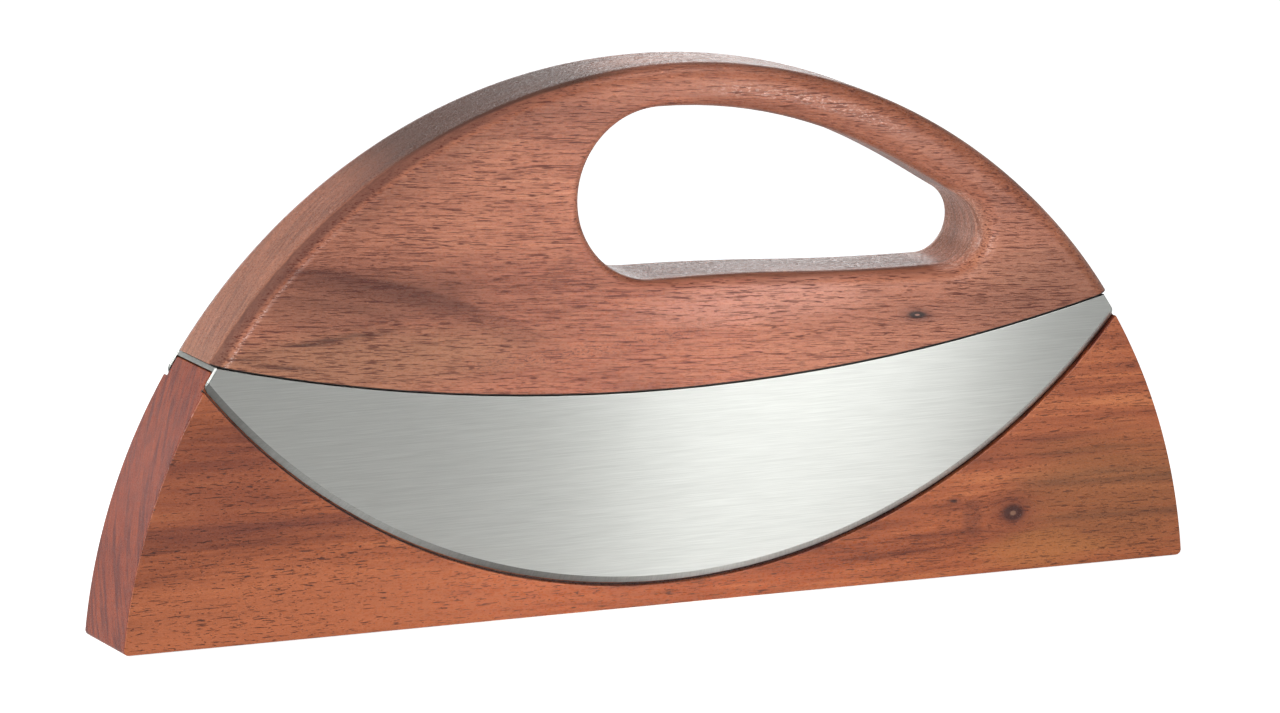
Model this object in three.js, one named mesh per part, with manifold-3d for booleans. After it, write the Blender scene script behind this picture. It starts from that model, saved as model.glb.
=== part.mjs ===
// Double mezzaluna: two crescent blades under one wooden handle, parked astride a wooden stand.
// Millimetres, +Z up. X runs along the blades and Y through the thickness. The origin is the
// middle of the stand's underside, and the front face looks along -Y.

import * as THREE from 'three';
import { mergeVertices } from 'three/addons/utils/BufferGeometryUtils.js';
import Module from 'manifold-3d';

const wasm = await Module();
wasm.setup();

// Stand
const standLength = 249.7; // along the underside
const standThickness = 21; // front face to back face, the same for the handle
const standEndRadius = 1.2; // round-over where each end meets the underside
const webHeight = 4.6; // wood left under the blade rebates at the middle

// Blades, and the bridge that joins their top edges
const bladeDepth = 41.3; // top edge to cutting edge at the middle
const bladeThickness = 1.2;
const bladeEndHeight = 4.2; // drop of each end edge, before its corner is rounded
const bladeCornerRadius = 1.7; // below each end edge
const seatRadius = 430; // sag of the top edges and of all that seats on them
const bevelWidth = 1.4; // ground along the cutting edge
const cuttingEdgeThickness = 0.45; // left standing at the cutting edge
const bridgeThickness = 0.95;

// Handle
const handleLength = 210.5; // between its two lower corners
const handleHeight = 69.2; // at the middle
const handleShift = 0.5; // of the handle's crown along +X
const handleOverhang = 1.55; // of the lower corners past the blade ends
const handleEdgeRadius = 3.5; // round-over along the crown

// Finger opening
const openingWidth = 95.4;
const openingSill = 23.4; // wood between the handle's underside and the opening
const openingFall = 2; // of the sill towards the right end
const openingRightRadius = 7.7;
const openingEdgeRadius = 2.5; // round-over along the rim
const barThickness = 8.8; // grip bar over the left end
const barEndThickness = 10.2; // grip bar where it meets the right end
const barSlope = THREE.MathUtils.degToRad(30); // of the bar's underside at the right end
const barFlatShare = 0.51; // of the bar's underside drawn level from the left
const barStraightShare = 0.17; // of the bar's underside drawn straight from the right

// Screws that hold the bridge against the handle
const screwInset = 22; // outer screws from the ends of the blades' top edges
const screwLength = 16;
const screwShankDiameter = 4;
const screwHeadDiameter = 7.4;
const screwHeadRim = 0.3; // cylindrical rim of the countersunk head
const screwPointLength = 5;
const screwRecess = 0.1; // of the head behind the bridge's underside
const driveWidth = 0.9; // cross recess in the head
const driveSpan = 4;
const driveDepth = 1.3;

// Clearances
const edgeGap = 0.6; // cutting edge to the wall of its rebate
const slideGap = 0.3; // blade to the stand's tongue
const seatGap = 0.3; // between curved faces that seat on each other
const screwGap = 0.3; // screw to the hole that it sits in

// Fineness of the round surfaces
const arcTolerance = 0.02; // of a chord from its arc
const curveSteps = 20; // along each free curve
const edgeSteps = 5; // across each round-over
const screwSides = 24;

// Heights of the stack at the middle
const cuttingEdgeZ = webHeight + edgeGap;
const bladeTopZ = cuttingEdgeZ + bladeDepth;
const handleBottomZ = bladeTopZ + seatGap;
const handleTopZ = handleBottomZ + handleHeight;

const bladeInnerY = standThickness / 2 - bladeThickness;
const tongueY = bladeInnerY - slideGap;

// Circles in the XZ plane, each as a centre and a radius
const seat = { x: 0, z: bladeTopZ + seatRadius, r: seatRadius };
const handleCornerZ = seat.z - Math.sqrt(seatRadius ** 2 - (handleLength / 2) ** 2) + seatGap;
const outline = circleOnAxis(
  { x: standLength / 2, z: 0 },
  { x: handleLength / 2 - handleOverhang, z: handleCornerZ },
);
const crown = circleFromSag(handleShift, handleTopZ, handleLength / 2, handleTopZ - handleCornerZ, -1);
const bladeTopCorner = crossing(seat, outline);
const bladeLowCornerZ = bladeTopCorner.z - bladeEndHeight;
const bladeLowCornerX = Math.sqrt(outline.r ** 2 - (bladeLowCornerZ - outline.z) ** 2);
const cuttingArc = circleFromSag(0, cuttingEdgeZ, bladeLowCornerX, bladeLowCornerZ - cuttingEdgeZ, 1);

// Circle centred on the Z axis through two points.
function circleOnAxis(p, q) {
  const z = (q.x ** 2 + q.z ** 2 - p.x ** 2 - p.z ** 2) / (2 * (q.z - p.z));
  return { x: 0, z, r: Math.hypot(p.x, p.z - z) };
}

// Circle whose extreme point is (x, z), with the given sag over half a chord. The centre lies
// above that point for side 1 and below it for side -1.
function circleFromSag(x, z, halfChord, sag, side) {
  const r = (halfChord ** 2 + sag ** 2) / (2 * sag);
  return { x, z: z + side * r, r };
}

function grown(circle, by) {
  return { ...circle, r: circle.r + by };
}

// The crossing of two circles that lies further along +X.
function crossing(a, b) {
  const dx = b.x - a.x;
  const dz = b.z - a.z;
  const span = Math.hypot(dx, dz);
  const along = (span ** 2 + a.r ** 2 - b.r ** 2) / (2 * span);
  const across = Math.sqrt(a.r ** 2 - along ** 2);
  const side = dz > 0 ? 1 : -1;
  return {
    x: a.x + (along * dx + side * across * dz) / span,
    z: a.z + (along * dz - side * across * dx) / span,
  };
}

function mirrored(point) {
  return { x: -point.x, z: point.z };
}

function angleOn(circle, point) {
  return Math.atan2(point.z - circle.z, point.x - circle.x);
}

// How many chords follow an arc within the tolerance.
function chordCount(radius, turn) {
  return Math.ceil(Math.abs(turn) / (2 * Math.acos(1 - arcTolerance / radius)));
}

// Draws on along a circle, through a turn that starts at the given angle.
function drawArc(path, circle, start, turn) {
  const chords = chordCount(circle.r, turn);
  for (let i = 1; i <= chords; i += 1) {
    const angle = start + (turn * i) / chords;
    path.lineTo(circle.x + circle.r * Math.cos(angle), circle.z + circle.r * Math.sin(angle));
  }
}

// Draws on along a circle from one of its points to another, the short way round.
function arcBetween(path, circle, from, to) {
  const start = angleOn(circle, from);
  let turn = angleOn(circle, to) - start;
  if (turn > Math.PI) turn -= 2 * Math.PI;
  if (turn < -Math.PI) turn += 2 * Math.PI;
  drawArc(path, circle, start, turn);
}

// Extrudes an XZ drawing through the thickness, centred on the given Y. A round-over takes the
// drawing in towards both faces.
function plate(shape, thickness, { y = 0, roundOver = 0 } = {}) {
  const geometry = new THREE.ExtrudeGeometry(shape, {
    depth: thickness - 2 * roundOver,
    curveSegments: curveSteps,
    bevelEnabled: roundOver > 0,
    bevelThickness: roundOver,
    bevelSize: roundOver,
    bevelOffset: -roundOver,
    bevelSegments: edgeSteps,
  });
  geometry.rotateX(Math.PI / 2);
  geometry.translate(0, y + thickness / 2 - roundOver, 0);
  return geometry;
}

// Turns a profile, given as pairs of radius and height, about the Y axis.
function turned(profile, sides) {
  return new THREE.LatheGeometry(profile.map(([r, y]) => new THREE.Vector2(r, y)), sides);
}

// A closed geometry as a solid that can be joined and cut.
function solid(geometry) {
  const bare = geometry.clone();
  bare.deleteAttribute('normal');
  bare.deleteAttribute('uv');
  const merged = mergeVertices(bare);
  const index = merged.index.array;
  const triangles = [];
  for (let i = 0; i < index.length; i += 3) {
    const [a, b, c] = [index[i], index[i + 1], index[i + 2]];
    if (a !== b && b !== c && c !== a) triangles.push(a, b, c);
  }
  return new wasm.Manifold(new wasm.Mesh({
    numProp: 3,
    vertProperties: merged.attributes.position.array,
    triVerts: new Uint32Array(triangles),
  }));
}

function geometryOf(body) {
  const { vertProperties, triVerts } = body.getMesh();
  const geometry = new THREE.BufferGeometry();
  geometry.setAttribute('position', new THREE.BufferAttribute(vertProperties, 3));
  geometry.setIndex(new THREE.BufferAttribute(triVerts, 1));
  geometry.computeVertexNormals();
  return geometry;
}

function piece(name, body, look) {
  const mesh = new THREE.Mesh(geometryOf(body), new THREE.MeshStandardMaterial(look));
  mesh.name = name;
  return mesh;
}

const handleWood = { color: 0xb4735a, roughness: 0.5, metalness: 0 };
const standWood = { color: 0xaf5f3c, roughness: 0.5, metalness: 0 };
const brushedSteel = { color: 0xb8bab8, roughness: 0.35, metalness: 1 };
const screwSteel = { color: 0xa8aaa8, roughness: 0.3, metalness: 1 };

// Everything on the inner side of a seat arc, tall enough to hold the handle.
function aboveSeat(circle) {
  const reach = { x: standLength / 2, z: circle.z - Math.sqrt(circle.r ** 2 - (standLength / 2) ** 2) };
  const shape = new THREE.Shape();
  shape.moveTo(-reach.x, reach.z);
  arcBetween(shape, circle, mirrored(reach), reach);
  shape.lineTo(reach.x, handleTopZ + reach.z);
  shape.lineTo(-reach.x, handleTopZ + reach.z);
  return solid(plate(shape, 2 * standThickness));
}

// Screws: lathe-turned, point up, with the head's flat at the bottom.
function screwProfile(gap, headExtra) {
  const shank = screwShankDiameter / 2 + gap;
  const head = screwHeadDiameter / 2 + gap;
  const rim = screwHeadRim + gap;
  return [
    [0, -headExtra],
    [head, -headExtra],
    [head, rim],
    [shank, rim + head - shank],
    [shank, screwLength - screwPointLength],
    [0, screwLength + gap],
  ];
}

function screwGeometry(gap, headExtra) {
  const geometry = turned(screwProfile(gap, headExtra), screwSides);
  geometry.rotateX(Math.PI / 2);
  return geometry;
}

// A screw stands square to the seat, so it is placed by a pivot at the seat's centre.
function screwPivot(x) {
  const pivot = new THREE.Group();
  pivot.position.set(0, 0, seat.z);
  pivot.rotation.y = -Math.asin(x / seatRadius);
  return pivot;
}

const screwDrop = seatRadius + bridgeThickness - screwRecess;
const screwSpread = bladeTopCorner.x - screwInset;
const screwPlaces = { left_screw: -screwSpread, middle_screw: 0, right_screw: screwSpread };

function screwHole(x) {
  const pivot = screwPivot(x);
  pivot.updateMatrix();
  const hole = screwGeometry(screwGap, bridgeThickness);
  hole.translate(0, 0, -screwDrop);
  hole.applyMatrix4(pivot.matrix);
  return solid(hole);
}

function withScrewHoles(body) {
  return Object.values(screwPlaces).reduce((rest, x) => rest.subtract(screwHole(x)), body);
}

function screw(name, x) {
  let body = solid(screwGeometry(0, 0));
  for (const [width, span] of [[driveWidth, driveSpan], [driveSpan, driveWidth]]) {
    body = body.subtract(solid(new THREE.BoxGeometry(width, span, 2 * driveDepth)));
  }
  const mesh = piece(name, body, screwSteel);
  mesh.position.z = -screwDrop;
  return screwPivot(x).add(mesh);
}

// Handle: a crowned block, opened for the fingers, with a sagging underside.
function crownBlock() {
  const spring = handleCornerZ - 2 * handleEdgeRadius;
  const cut = bladeTopZ - 2 * handleEdgeRadius;
  const right = { x: crown.x + Math.sqrt(crown.r ** 2 - (spring - crown.z) ** 2), z: spring };
  const left = { x: 2 * crown.x - right.x, z: spring };
  const top = { x: crown.x, z: handleTopZ };
  const shape = new THREE.Shape();
  shape.moveTo(left.x, cut);
  shape.lineTo(right.x, cut);
  shape.lineTo(right.x, right.z);
  arcBetween(shape, crown, right, top);
  arcBetween(shape, crown, top, left);
  return solid(plate(shape, standThickness, { roundOver: handleEdgeRadius }));
}

function fingerOpening() {
  const sillZ = handleBottomZ + openingSill;
  const leftRadius = (handleTopZ - barThickness - sillZ) / 2;
  const rightZ = sillZ - openingFall + openingRightRadius;
  const rightReach = crown.r - barEndThickness - openingRightRadius;
  const rightX = crown.x + Math.sqrt(rightReach ** 2 - (rightZ - crown.z) ** 2);
  const leftX = rightX + openingRightRadius - openingWidth + leftRadius;
  const leftZ = sillZ + leftRadius;
  const barLeft = { x: leftX, z: leftZ + leftRadius };
  const barRight = {
    x: rightX + openingRightRadius * Math.sin(barSlope),
    z: rightZ + openingRightRadius * Math.cos(barSlope),
  };
  const barSpan = barRight.x - barLeft.x;
  const straight = barStraightShare * barSpan;
  const middleX = (leftX + rightX) / 2;
  const path = new THREE.Path();
  path.moveTo(barLeft.x, barLeft.z);
  path.bezierCurveTo(
    barLeft.x + barFlatShare * barSpan,
    barLeft.z,
    barRight.x - straight * Math.cos(barSlope),
    barRight.z + straight * Math.sin(barSlope),
    barRight.x,
    barRight.z,
  );
  const rightEnd = { x: rightX, z: rightZ, r: openingRightRadius };
  drawArc(path, rightEnd, Math.PI / 2 - barSlope, barSlope - Math.PI);
  path.bezierCurveTo(middleX, rightZ - openingRightRadius, middleX, sillZ, leftX, sillZ);
  drawArc(path, { x: leftX, z: leftZ, r: leftRadius }, -Math.PI / 2, -Math.PI);
  return path;
}

function openedSlab() {
  const shape = new THREE.Shape();
  shape.moveTo(-standLength, 0);
  shape.lineTo(standLength, 0);
  shape.lineTo(standLength, 2 * handleTopZ);
  shape.lineTo(-standLength, 2 * handleTopZ);
  shape.holes.push(fingerOpening());
  return solid(plate(shape, standThickness, { roundOver: openingEdgeRadius }));
}

function handle() {
  const block = crownBlock().intersect(openedSlab());
  const seated = block.intersect(aboveSeat(grown(seat, -seatGap)));
  return piece('handle', withScrewHoles(seated), handleWood);
}

// Blades: a crescent between the seat arc, the outline and the cutting arc, ground on its
// outer face along the cutting edge.
function crescent() {
  const corner = Math.min(bladeCornerRadius, bladeEndHeight);
  const bend = { ...crossing(grown(outline, -corner), grown(cuttingArc, -corner)), r: corner };
  const endStop = pointTowards(outline, bend, outline.r);
  const edgeStop = pointTowards(cuttingArc, bend, cuttingArc.r);
  const leftBend = { ...mirrored(bend), r: corner };
  const shape = new THREE.Shape();
  shape.moveTo(bladeTopCorner.x, bladeTopCorner.z);
  arcBetween(shape, outline, bladeTopCorner, endStop);
  arcBetween(shape, bend, endStop, edgeStop);
  arcBetween(shape, cuttingArc, edgeStop, mirrored(edgeStop));
  arcBetween(shape, leftBend, mirrored(edgeStop), mirrored(endStop));
  arcBetween(shape, outline, mirrored(endStop), mirrored(bladeTopCorner));
  arcBetween(shape, seat, mirrored(bladeTopCorner), bladeTopCorner);
  return shape;
}

function pointTowards(circle, target, distance) {
  const angle = angleOn(circle, target);
  return { x: circle.x + distance * Math.cos(angle), z: circle.z + distance * Math.sin(angle) };
}

// Ring of waste that grinding takes off the outer face, widening past the cutting edge.
function grindingWaste(side) {
  const fall = (bladeThickness - cuttingEdgeThickness) / bevelWidth;
  const overrun = bladeThickness;
  const outerY = standThickness / 2;
  const profile = [
    [cuttingArc.r - bevelWidth - overrun, outerY + fall * overrun],
    [cuttingArc.r + overrun, outerY - fall * (bevelWidth + overrun)],
    [cuttingArc.r + overrun, outerY + fall * overrun],
    [cuttingArc.r - bevelWidth - overrun, outerY + fall * overrun],
  ];
  const ring = turned(profile, chordCount(cuttingArc.r, 2 * Math.PI));
  if (side < 0) ring.rotateX(Math.PI);
  ring.translate(0, 0, cuttingArc.z);
  return solid(ring);
}

function blade(name, side) {
  const y = side * (bladeInnerY + bladeThickness / 2);
  const blank = solid(plate(crescent(), bladeThickness, { y }));
  return piece(name, blank.subtract(grindingWaste(side)), brushedSteel);
}

// Bridge: a strip that follows the seat, as long as the blades' top edges.
function bridge() {
  const under = grown(seat, bridgeThickness);
  const low = crossing(under, outline);
  const shape = new THREE.Shape();
  shape.moveTo(bladeTopCorner.x, bladeTopCorner.z);
  arcBetween(shape, outline, bladeTopCorner, low);
  arcBetween(shape, under, low, mirrored(low));
  arcBetween(shape, outline, mirrored(low), mirrored(bladeTopCorner));
  arcBetween(shape, seat, mirrored(bladeTopCorner), bladeTopCorner);
  return piece('blade_bridge', withScrewHoles(solid(plate(shape, 2 * bladeInnerY))), brushedSteel);
}

// Stand: a block under the bridge, with a crescent rebate in each face for the blades.
function standOutline() {
  const top = grown(seat, bridgeThickness + seatGap);
  const shoulder = crossing(top, outline);
  const reach = outline.r - standEndRadius;
  const footX = Math.sqrt(reach ** 2 - (standEndRadius - outline.z) ** 2);
  const foot = { x: footX, z: standEndRadius, r: standEndRadius };
  const heel = { ...mirrored(foot), r: standEndRadius };
  const sole = { x: footX, z: 0 };
  const bulge = pointTowards(outline, foot, outline.r);
  const shape = new THREE.Shape();
  shape.moveTo(-sole.x, sole.z);
  shape.lineTo(sole.x, sole.z);
  arcBetween(shape, foot, sole, bulge);
  arcBetween(shape, outline, bulge, shoulder);
  arcBetween(shape, top, shoulder, mirrored(shoulder));
  arcBetween(shape, outline, mirrored(shoulder), mirrored(bulge));
  arcBetween(shape, heel, mirrored(bulge), mirrored(sole));
  return shape;
}

function rebate(side) {
  const depth = standThickness / 2 - tongueY;
  const radius = cuttingArc.r + edgeGap;
  const disc = new THREE.CylinderGeometry(radius, radius, 2 * depth, chordCount(radius, 2 * Math.PI));
  disc.translate(0, side * (tongueY + depth), cuttingArc.z);
  return solid(disc);
}

function stand() {
  const block = solid(plate(standOutline(), standThickness));
  return piece('stand', block.subtract(rebate(-1)).subtract(rebate(1)), standWood);
}

const tool = new THREE.Group();
tool.add(handle(), blade('front_blade', -1), blade('rear_blade', 1), bridge());
for (const [name, x] of Object.entries(screwPlaces)) tool.add(screw(name, x));

const mezzaluna = new THREE.Group();
mezzaluna.add(tool, stand());

export default mezzaluna;
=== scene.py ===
import bpy
import math
from collections import namedtuple
from mathutils import Matrix, Vector


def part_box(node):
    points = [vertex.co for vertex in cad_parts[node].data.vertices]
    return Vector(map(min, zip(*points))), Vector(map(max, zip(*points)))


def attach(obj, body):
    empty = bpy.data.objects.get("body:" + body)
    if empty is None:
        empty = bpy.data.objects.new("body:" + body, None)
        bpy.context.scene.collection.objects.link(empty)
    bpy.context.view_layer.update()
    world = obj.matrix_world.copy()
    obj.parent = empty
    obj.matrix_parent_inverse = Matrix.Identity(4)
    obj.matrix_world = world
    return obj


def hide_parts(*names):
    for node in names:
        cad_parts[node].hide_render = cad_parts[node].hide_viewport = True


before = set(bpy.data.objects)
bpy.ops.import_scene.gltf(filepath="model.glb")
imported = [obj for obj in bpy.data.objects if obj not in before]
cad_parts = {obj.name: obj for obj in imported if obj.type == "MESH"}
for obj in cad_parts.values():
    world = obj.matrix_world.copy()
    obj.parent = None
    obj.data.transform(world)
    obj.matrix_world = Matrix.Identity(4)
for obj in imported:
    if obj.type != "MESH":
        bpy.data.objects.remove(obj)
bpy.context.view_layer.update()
mm = 0.001
touch = 0.01  # mm; nearer than this counts as the same place
print("frame loaded with", len(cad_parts), "nodes")

# Driving sizes of the knife in millimetres; heights and thicknesses come from the frame.
knife = {
    "standLength": 249.7,
    "handleLength": 210.5,  # between its two lower corners
    "handleShift": 0.5,  # of the crown towards the right
    "handleOverhang": 1.55,  # of the lower corners past the blade ends
    "seatRadius": 430,  # sag of the blades' top edges
    "seatGap": 0.3,
    "bladeEndHeight": 4.2,
    "bridgeThickness": 0.95,
}

circle = namedtuple("circle", "x z r")  # a circle seen from the front


def boxInMm(node):
    low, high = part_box(node)
    return low / mm, high / mm


def grown(ring, by):
    return ring._replace(r=ring.r + by)


def circleOnAxis(ax, az, bx, bz):  # centred over the middle, through two points
    z = (bx ** 2 + bz ** 2 - ax ** 2 - az ** 2) / (2 * (bz - az))
    return circle(0, z, math.hypot(ax, az - z))


def radiusFromSag(halfChord, sag):
    return (halfChord ** 2 + sag ** 2) / (2 * sag)


def crossing(upper, lower):  # on the right, of two circles centred one above the other
    rise = upper.z - lower.z
    up = (rise ** 2 + lower.r ** 2 - upper.r ** 2) / (2 * rise)
    return math.sqrt(lower.r ** 2 - up ** 2), lower.z + up


def mirrored(spot):
    return -spot[0], spot[1]


def towards(ring, spot):  # the circle's point nearest to a spot
    angle = math.atan2(spot[1] - ring.z, spot[0] - ring.x)
    return ring.x + ring.r * math.cos(angle), ring.z + ring.r * math.sin(angle)


standLow, standHigh = boxInMm("stand")
handleLow, handleHigh = boxInMm("handle")
bladeLow, bladeHigh = boxInMm("front_blade")
bridgeLow, bridgeHigh = boxInMm("blade_bridge")

faceY = standHigh.y
bladeInnerY = bridgeHigh.y
bladeTopZ = bridgeLow.z + knife["bridgeThickness"]
halfHandle = knife["handleLength"] / 2
seat = circle(0, bladeTopZ + knife["seatRadius"], knife["seatRadius"])
handleCornerZ = seat.z - math.sqrt(seat.r ** 2 - halfHandle ** 2) + knife["seatGap"]
outline = circleOnAxis(knife["standLength"] / 2, 0, halfHandle - knife["handleOverhang"], handleCornerZ)
crownRadius = radiusFromSag(halfHandle, handleHigh.z - handleCornerZ)
crown = circle(knife["handleShift"], handleHigh.z - crownRadius, crownRadius)
endLowZ = bladeHigh.z - knife["bladeEndHeight"]
endLowX = math.sqrt(outline.r ** 2 - (endLowZ - outline.z) ** 2)
cuttingRadius = radiusFromSag(endLowX, endLowZ - bladeLow.z)
cuttingArc = circle(0, bladeLow.z + cuttingRadius, cuttingRadius)
print("circles worked out: crown", round(crown.r, 1), "outline", round(outline.r, 1))


# Modelling steps used by every piece.
def selectOnly(piece):
    bpy.ops.object.select_all(action="DESELECT")
    bpy.context.view_layer.objects.active = piece
    piece.select_set(True)


def editMode(piece):
    selectOnly(piece)
    bpy.ops.object.mode_set(mode="EDIT")


def roundBlock(name, ring, yFrom, yTo, sides=360):
    bpy.ops.object.select_all(action="DESELECT")
    bpy.ops.mesh.primitive_cylinder_add(
        vertices=sides,
        radius=ring.r * mm,
        depth=(yTo - yFrom) * mm,
        location=(ring.x * mm, (yFrom + yTo) / 2 * mm, ring.z * mm),
        rotation=(math.pi / 2, 0, 0),
    )
    bpy.ops.object.transform_apply()
    block = bpy.context.active_object
    block.name = name
    return block


# Outlines are drawn as smooth curves: each point has its place and its two handles.
def arcTo(path, ring, end, largestStep=60):
    start = path[-1][0]
    first = math.atan2(start[1] - ring.z, start[0] - ring.x)
    turn = math.atan2(end[1] - ring.z, end[0] - ring.x) - first
    turn = (turn + math.pi) % (2 * math.pi) - math.pi  # the short way round
    steps = math.ceil(abs(turn) / math.radians(largestStep))
    reach = 4 / 3 * math.tan(turn / steps / 4) * ring.r
    for i in range(steps):
        here, there = first + turn * i / steps, first + turn * (i + 1) / steps
        x, z = path[-1][0]
        path[-1][2] = (x - reach * math.sin(here), z + reach * math.cos(here))
        x, z = ring.x + ring.r * math.cos(there), ring.z + ring.r * math.sin(there)
        path.append([(x, z), (x + reach * math.sin(there), z - reach * math.cos(there)), None])


def bendTo(path, handleOut, handleIn, end):
    path[-1][2] = handleOut
    path.append([end, handleIn, None])


def lineTo(path, end):
    bendTo(path, path[-1][0], end, end)


def drawnBlock(name, path, yFrom, yTo, fineness=24):
    path[0][1] = path.pop()[1]  # the last point closes on the first
    curve = bpy.data.curves.new(name, "CURVE")
    curve.dimensions = "2D"
    curve.fill_mode = "BOTH"
    curve.extrude = (yTo - yFrom) / 2 * mm
    curve.resolution_u = fineness
    spline = curve.splines.new("BEZIER")
    spline.bezier_points.add(len(path) - 1)
    spline.use_cyclic_u = True
    for point, (place, handleIn, handleOut) in zip(spline.bezier_points, path):
        point.handle_left_type = point.handle_right_type = "FREE"
        point.co = Vector((*place, 0)) * mm
        point.handle_left = Vector((*handleIn, 0)) * mm
        point.handle_right = Vector((*handleOut, 0)) * mm
    block = bpy.data.objects.new(name, curve)
    bpy.context.scene.collection.objects.link(block)
    block.rotation_euler = (math.pi / 2, 0, 0)
    block.location.y = (yFrom + yTo) / 2 * mm
    selectOnly(block)
    bpy.ops.object.convert(target="MESH")
    bpy.ops.object.transform_apply()
    editMode(block)
    bpy.ops.mesh.select_all(action="SELECT")
    bpy.ops.mesh.remove_doubles(threshold=0.001 * mm)
    bpy.ops.mesh.normals_make_consistent(inside=False)
    bpy.ops.mesh.dissolve_limited(angle_limit=math.radians(0.05))
    bpy.ops.object.mode_set(mode="OBJECT")
    return block


def seatBlock(by):
    return roundBlock("seatTool", grown(seat, by), -3 * faceY, 3 * faceY, sides=1080)


def carve(piece, tool, how):
    selectOnly(piece)
    cut = piece.modifiers.new("carve", "BOOLEAN")
    cut.object = tool
    cut.operation = how
    cut.solver = "EXACT"
    bpy.ops.object.modifier_apply(modifier=cut.name)
    bpy.data.objects.remove(tool)


def selectSharp(piece, wanted, degrees=35):  # sharp edges whose two ends, in mm, pass the test
    editMode(piece)
    bpy.ops.mesh.select_mode(type="EDGE")
    bpy.ops.mesh.select_all(action="DESELECT")
    bpy.ops.mesh.edges_select_sharp(sharpness=math.radians(degrees))
    bpy.ops.object.mode_set(mode="OBJECT")
    points = piece.data.vertices
    for part in (*points, *piece.data.polygons):
        part.select = False
    for edge in piece.data.edges:
        a, b = (points[i] for i in edge.vertices)
        edge.select = edge.select and wanted(a.co / mm, b.co / mm)
        if edge.select:
            a.select = b.select = True


def roundEdges(piece, wanted, radius, steps, degrees=35):
    selectSharp(piece, wanted, degrees)
    bpy.ops.object.mode_set(mode="EDIT")
    bpy.ops.mesh.bevel(offset=radius * mm, segments=steps, profile=0.5, affect="EDGES")
    bpy.ops.object.mode_set(mode="OBJECT")


def cleanMesh(piece):
    editMode(piece)
    bpy.ops.mesh.select_all(action="SELECT")
    bpy.ops.mesh.remove_doubles(threshold=touch * mm)
    bpy.ops.object.mode_set(mode="OBJECT")


def smoothFaces(piece, degrees=30):
    selectOnly(piece)
    bpy.ops.object.shade_smooth_by_angle(angle=math.radians(degrees))
    flats = piece.modifiers.new("flats", "WEIGHTED_NORMAL")
    flats.keep_sharp = True
    bpy.ops.object.modifier_apply(modifier=flats.name)


def finishPiece(piece, material, body, node):
    piece.data.materials.clear()
    piece.data.materials.append(material)
    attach(piece, body)
    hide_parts(node)


def ownCopy(piece, name):  # a copy with its own mesh
    selectOnly(piece)
    bpy.ops.object.duplicate(linked=False)
    copy = bpy.context.active_object
    copy.name = name
    return copy


# Stand: a round block with a flat underside, hollowed for the bridge and rebated for the blades.
standShape = {
    "endRound": 1.2,  # where each end meets the underside
    "edgeSoft": 0.3,
    "edgeSteps": 2,
    "rebateGap": 0.6,  # cutting edge to the wall of its rebate
    "tongueGap": 0.3,
}


def standOutline():
    r = standShape["endRound"]
    inner = grown(outline, -r)
    footX = math.sqrt(inner.r ** 2 - (r - inner.z) ** 2)
    foot, heel = circle(footX, r, r), circle(-footX, r, r)
    side = towards(outline, (footX, r))
    top = grown(seat, knife["bridgeThickness"] + knife["seatGap"])
    shoulder = crossing(top, outline)
    tipX, tipZ = crossing(grown(cuttingArc, standShape["rebateGap"]), outline)
    belowTip = towards(outline, (tipX, tipZ - 1))  # one facet runs from here up past the rebate's tip
    path = [[(-footX, 0), None, None]]
    lineTo(path, (footX, 0))
    arcTo(path, foot, side)
    arcTo(path, outline, belowTip)
    lineTo(path, shoulder)
    arcTo(path, top, mirrored(shoulder))
    lineTo(path, mirrored(belowTip))
    arcTo(path, outline, mirrored(side))
    arcTo(path, heel, (-footX, 0))
    return path


def makeStand():
    block = drawnBlock("standBlock", standOutline(), -faceY, faceY, fineness=40)
    tongueY = bladeInnerY - standShape["tongueGap"]
    ring = grown(cuttingArc, standShape["rebateGap"])
    for side in (-1, 1):
        reach = sorted((side * tongueY, side * 2 * faceY))
        carve(block, roundBlock("rebateTool", ring, *reach), "DIFFERENCE")
    cleanMesh(block)

    def inCorner(p):  # where a rebate's wall meets the tongue
        off = math.hypot(p.x, p.z - ring.z) - ring.r
        return abs(abs(p.y) - tongueY) < touch and abs(off) < 5 * touch

    def outerEdge(a, b):
        return not (inCorner(a) and inCorner(b))

    roundEdges(block, outerEdge, standShape["edgeSoft"], standShape["edgeSteps"])
    smoothFaces(block)
    return block


# Handle: a crowned block opened for the fingers, rounder along the grip bar.
handleShape = {
    "rounds": {  # radii of the round-overs
        "crown": 3.5,
        "bar": 4.4,  # along the crown over the grip bar
        "rim": 2.2,  # at the opening's left end
        "sill": 3.8,
        "barRim": 4.0,
        "endRim": 4.4,  # at the opening's right end
    },
    "roundSteps": 10,
    "barStart": (-30, 0),  # stretches along X where the radius changes
    "barStop": (78, 100),
    "rimStart": (-6, 22),
    "rimStop": (52, 70),
    "rimMiddle": 82,  # height that parts the sill from the bar
}
opening = {
    "width": 95.4,
    "sill": 23.4,  # wood under the opening
    "fall": 2,  # of the sill towards the right
    "rightRadius": 7.7,
    "barThickness": 8.8,
    "barEndThickness": 10.2,
    "barSlope": 30,  # degrees, of the bar's underside at the right
    "barFlatShare": 0.51,
    "barStraightShare": 0.17,
}
sillZ = handleLow.z + opening["sill"]


def openingEnd():  # the round at the opening's right
    r = opening["rightRadius"]
    z = sillZ - opening["fall"] + r
    reach = crown.r - opening["barEndThickness"] - r
    return circle(crown.x + math.sqrt(reach ** 2 - (z - crown.z) ** 2), z, r)


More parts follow.
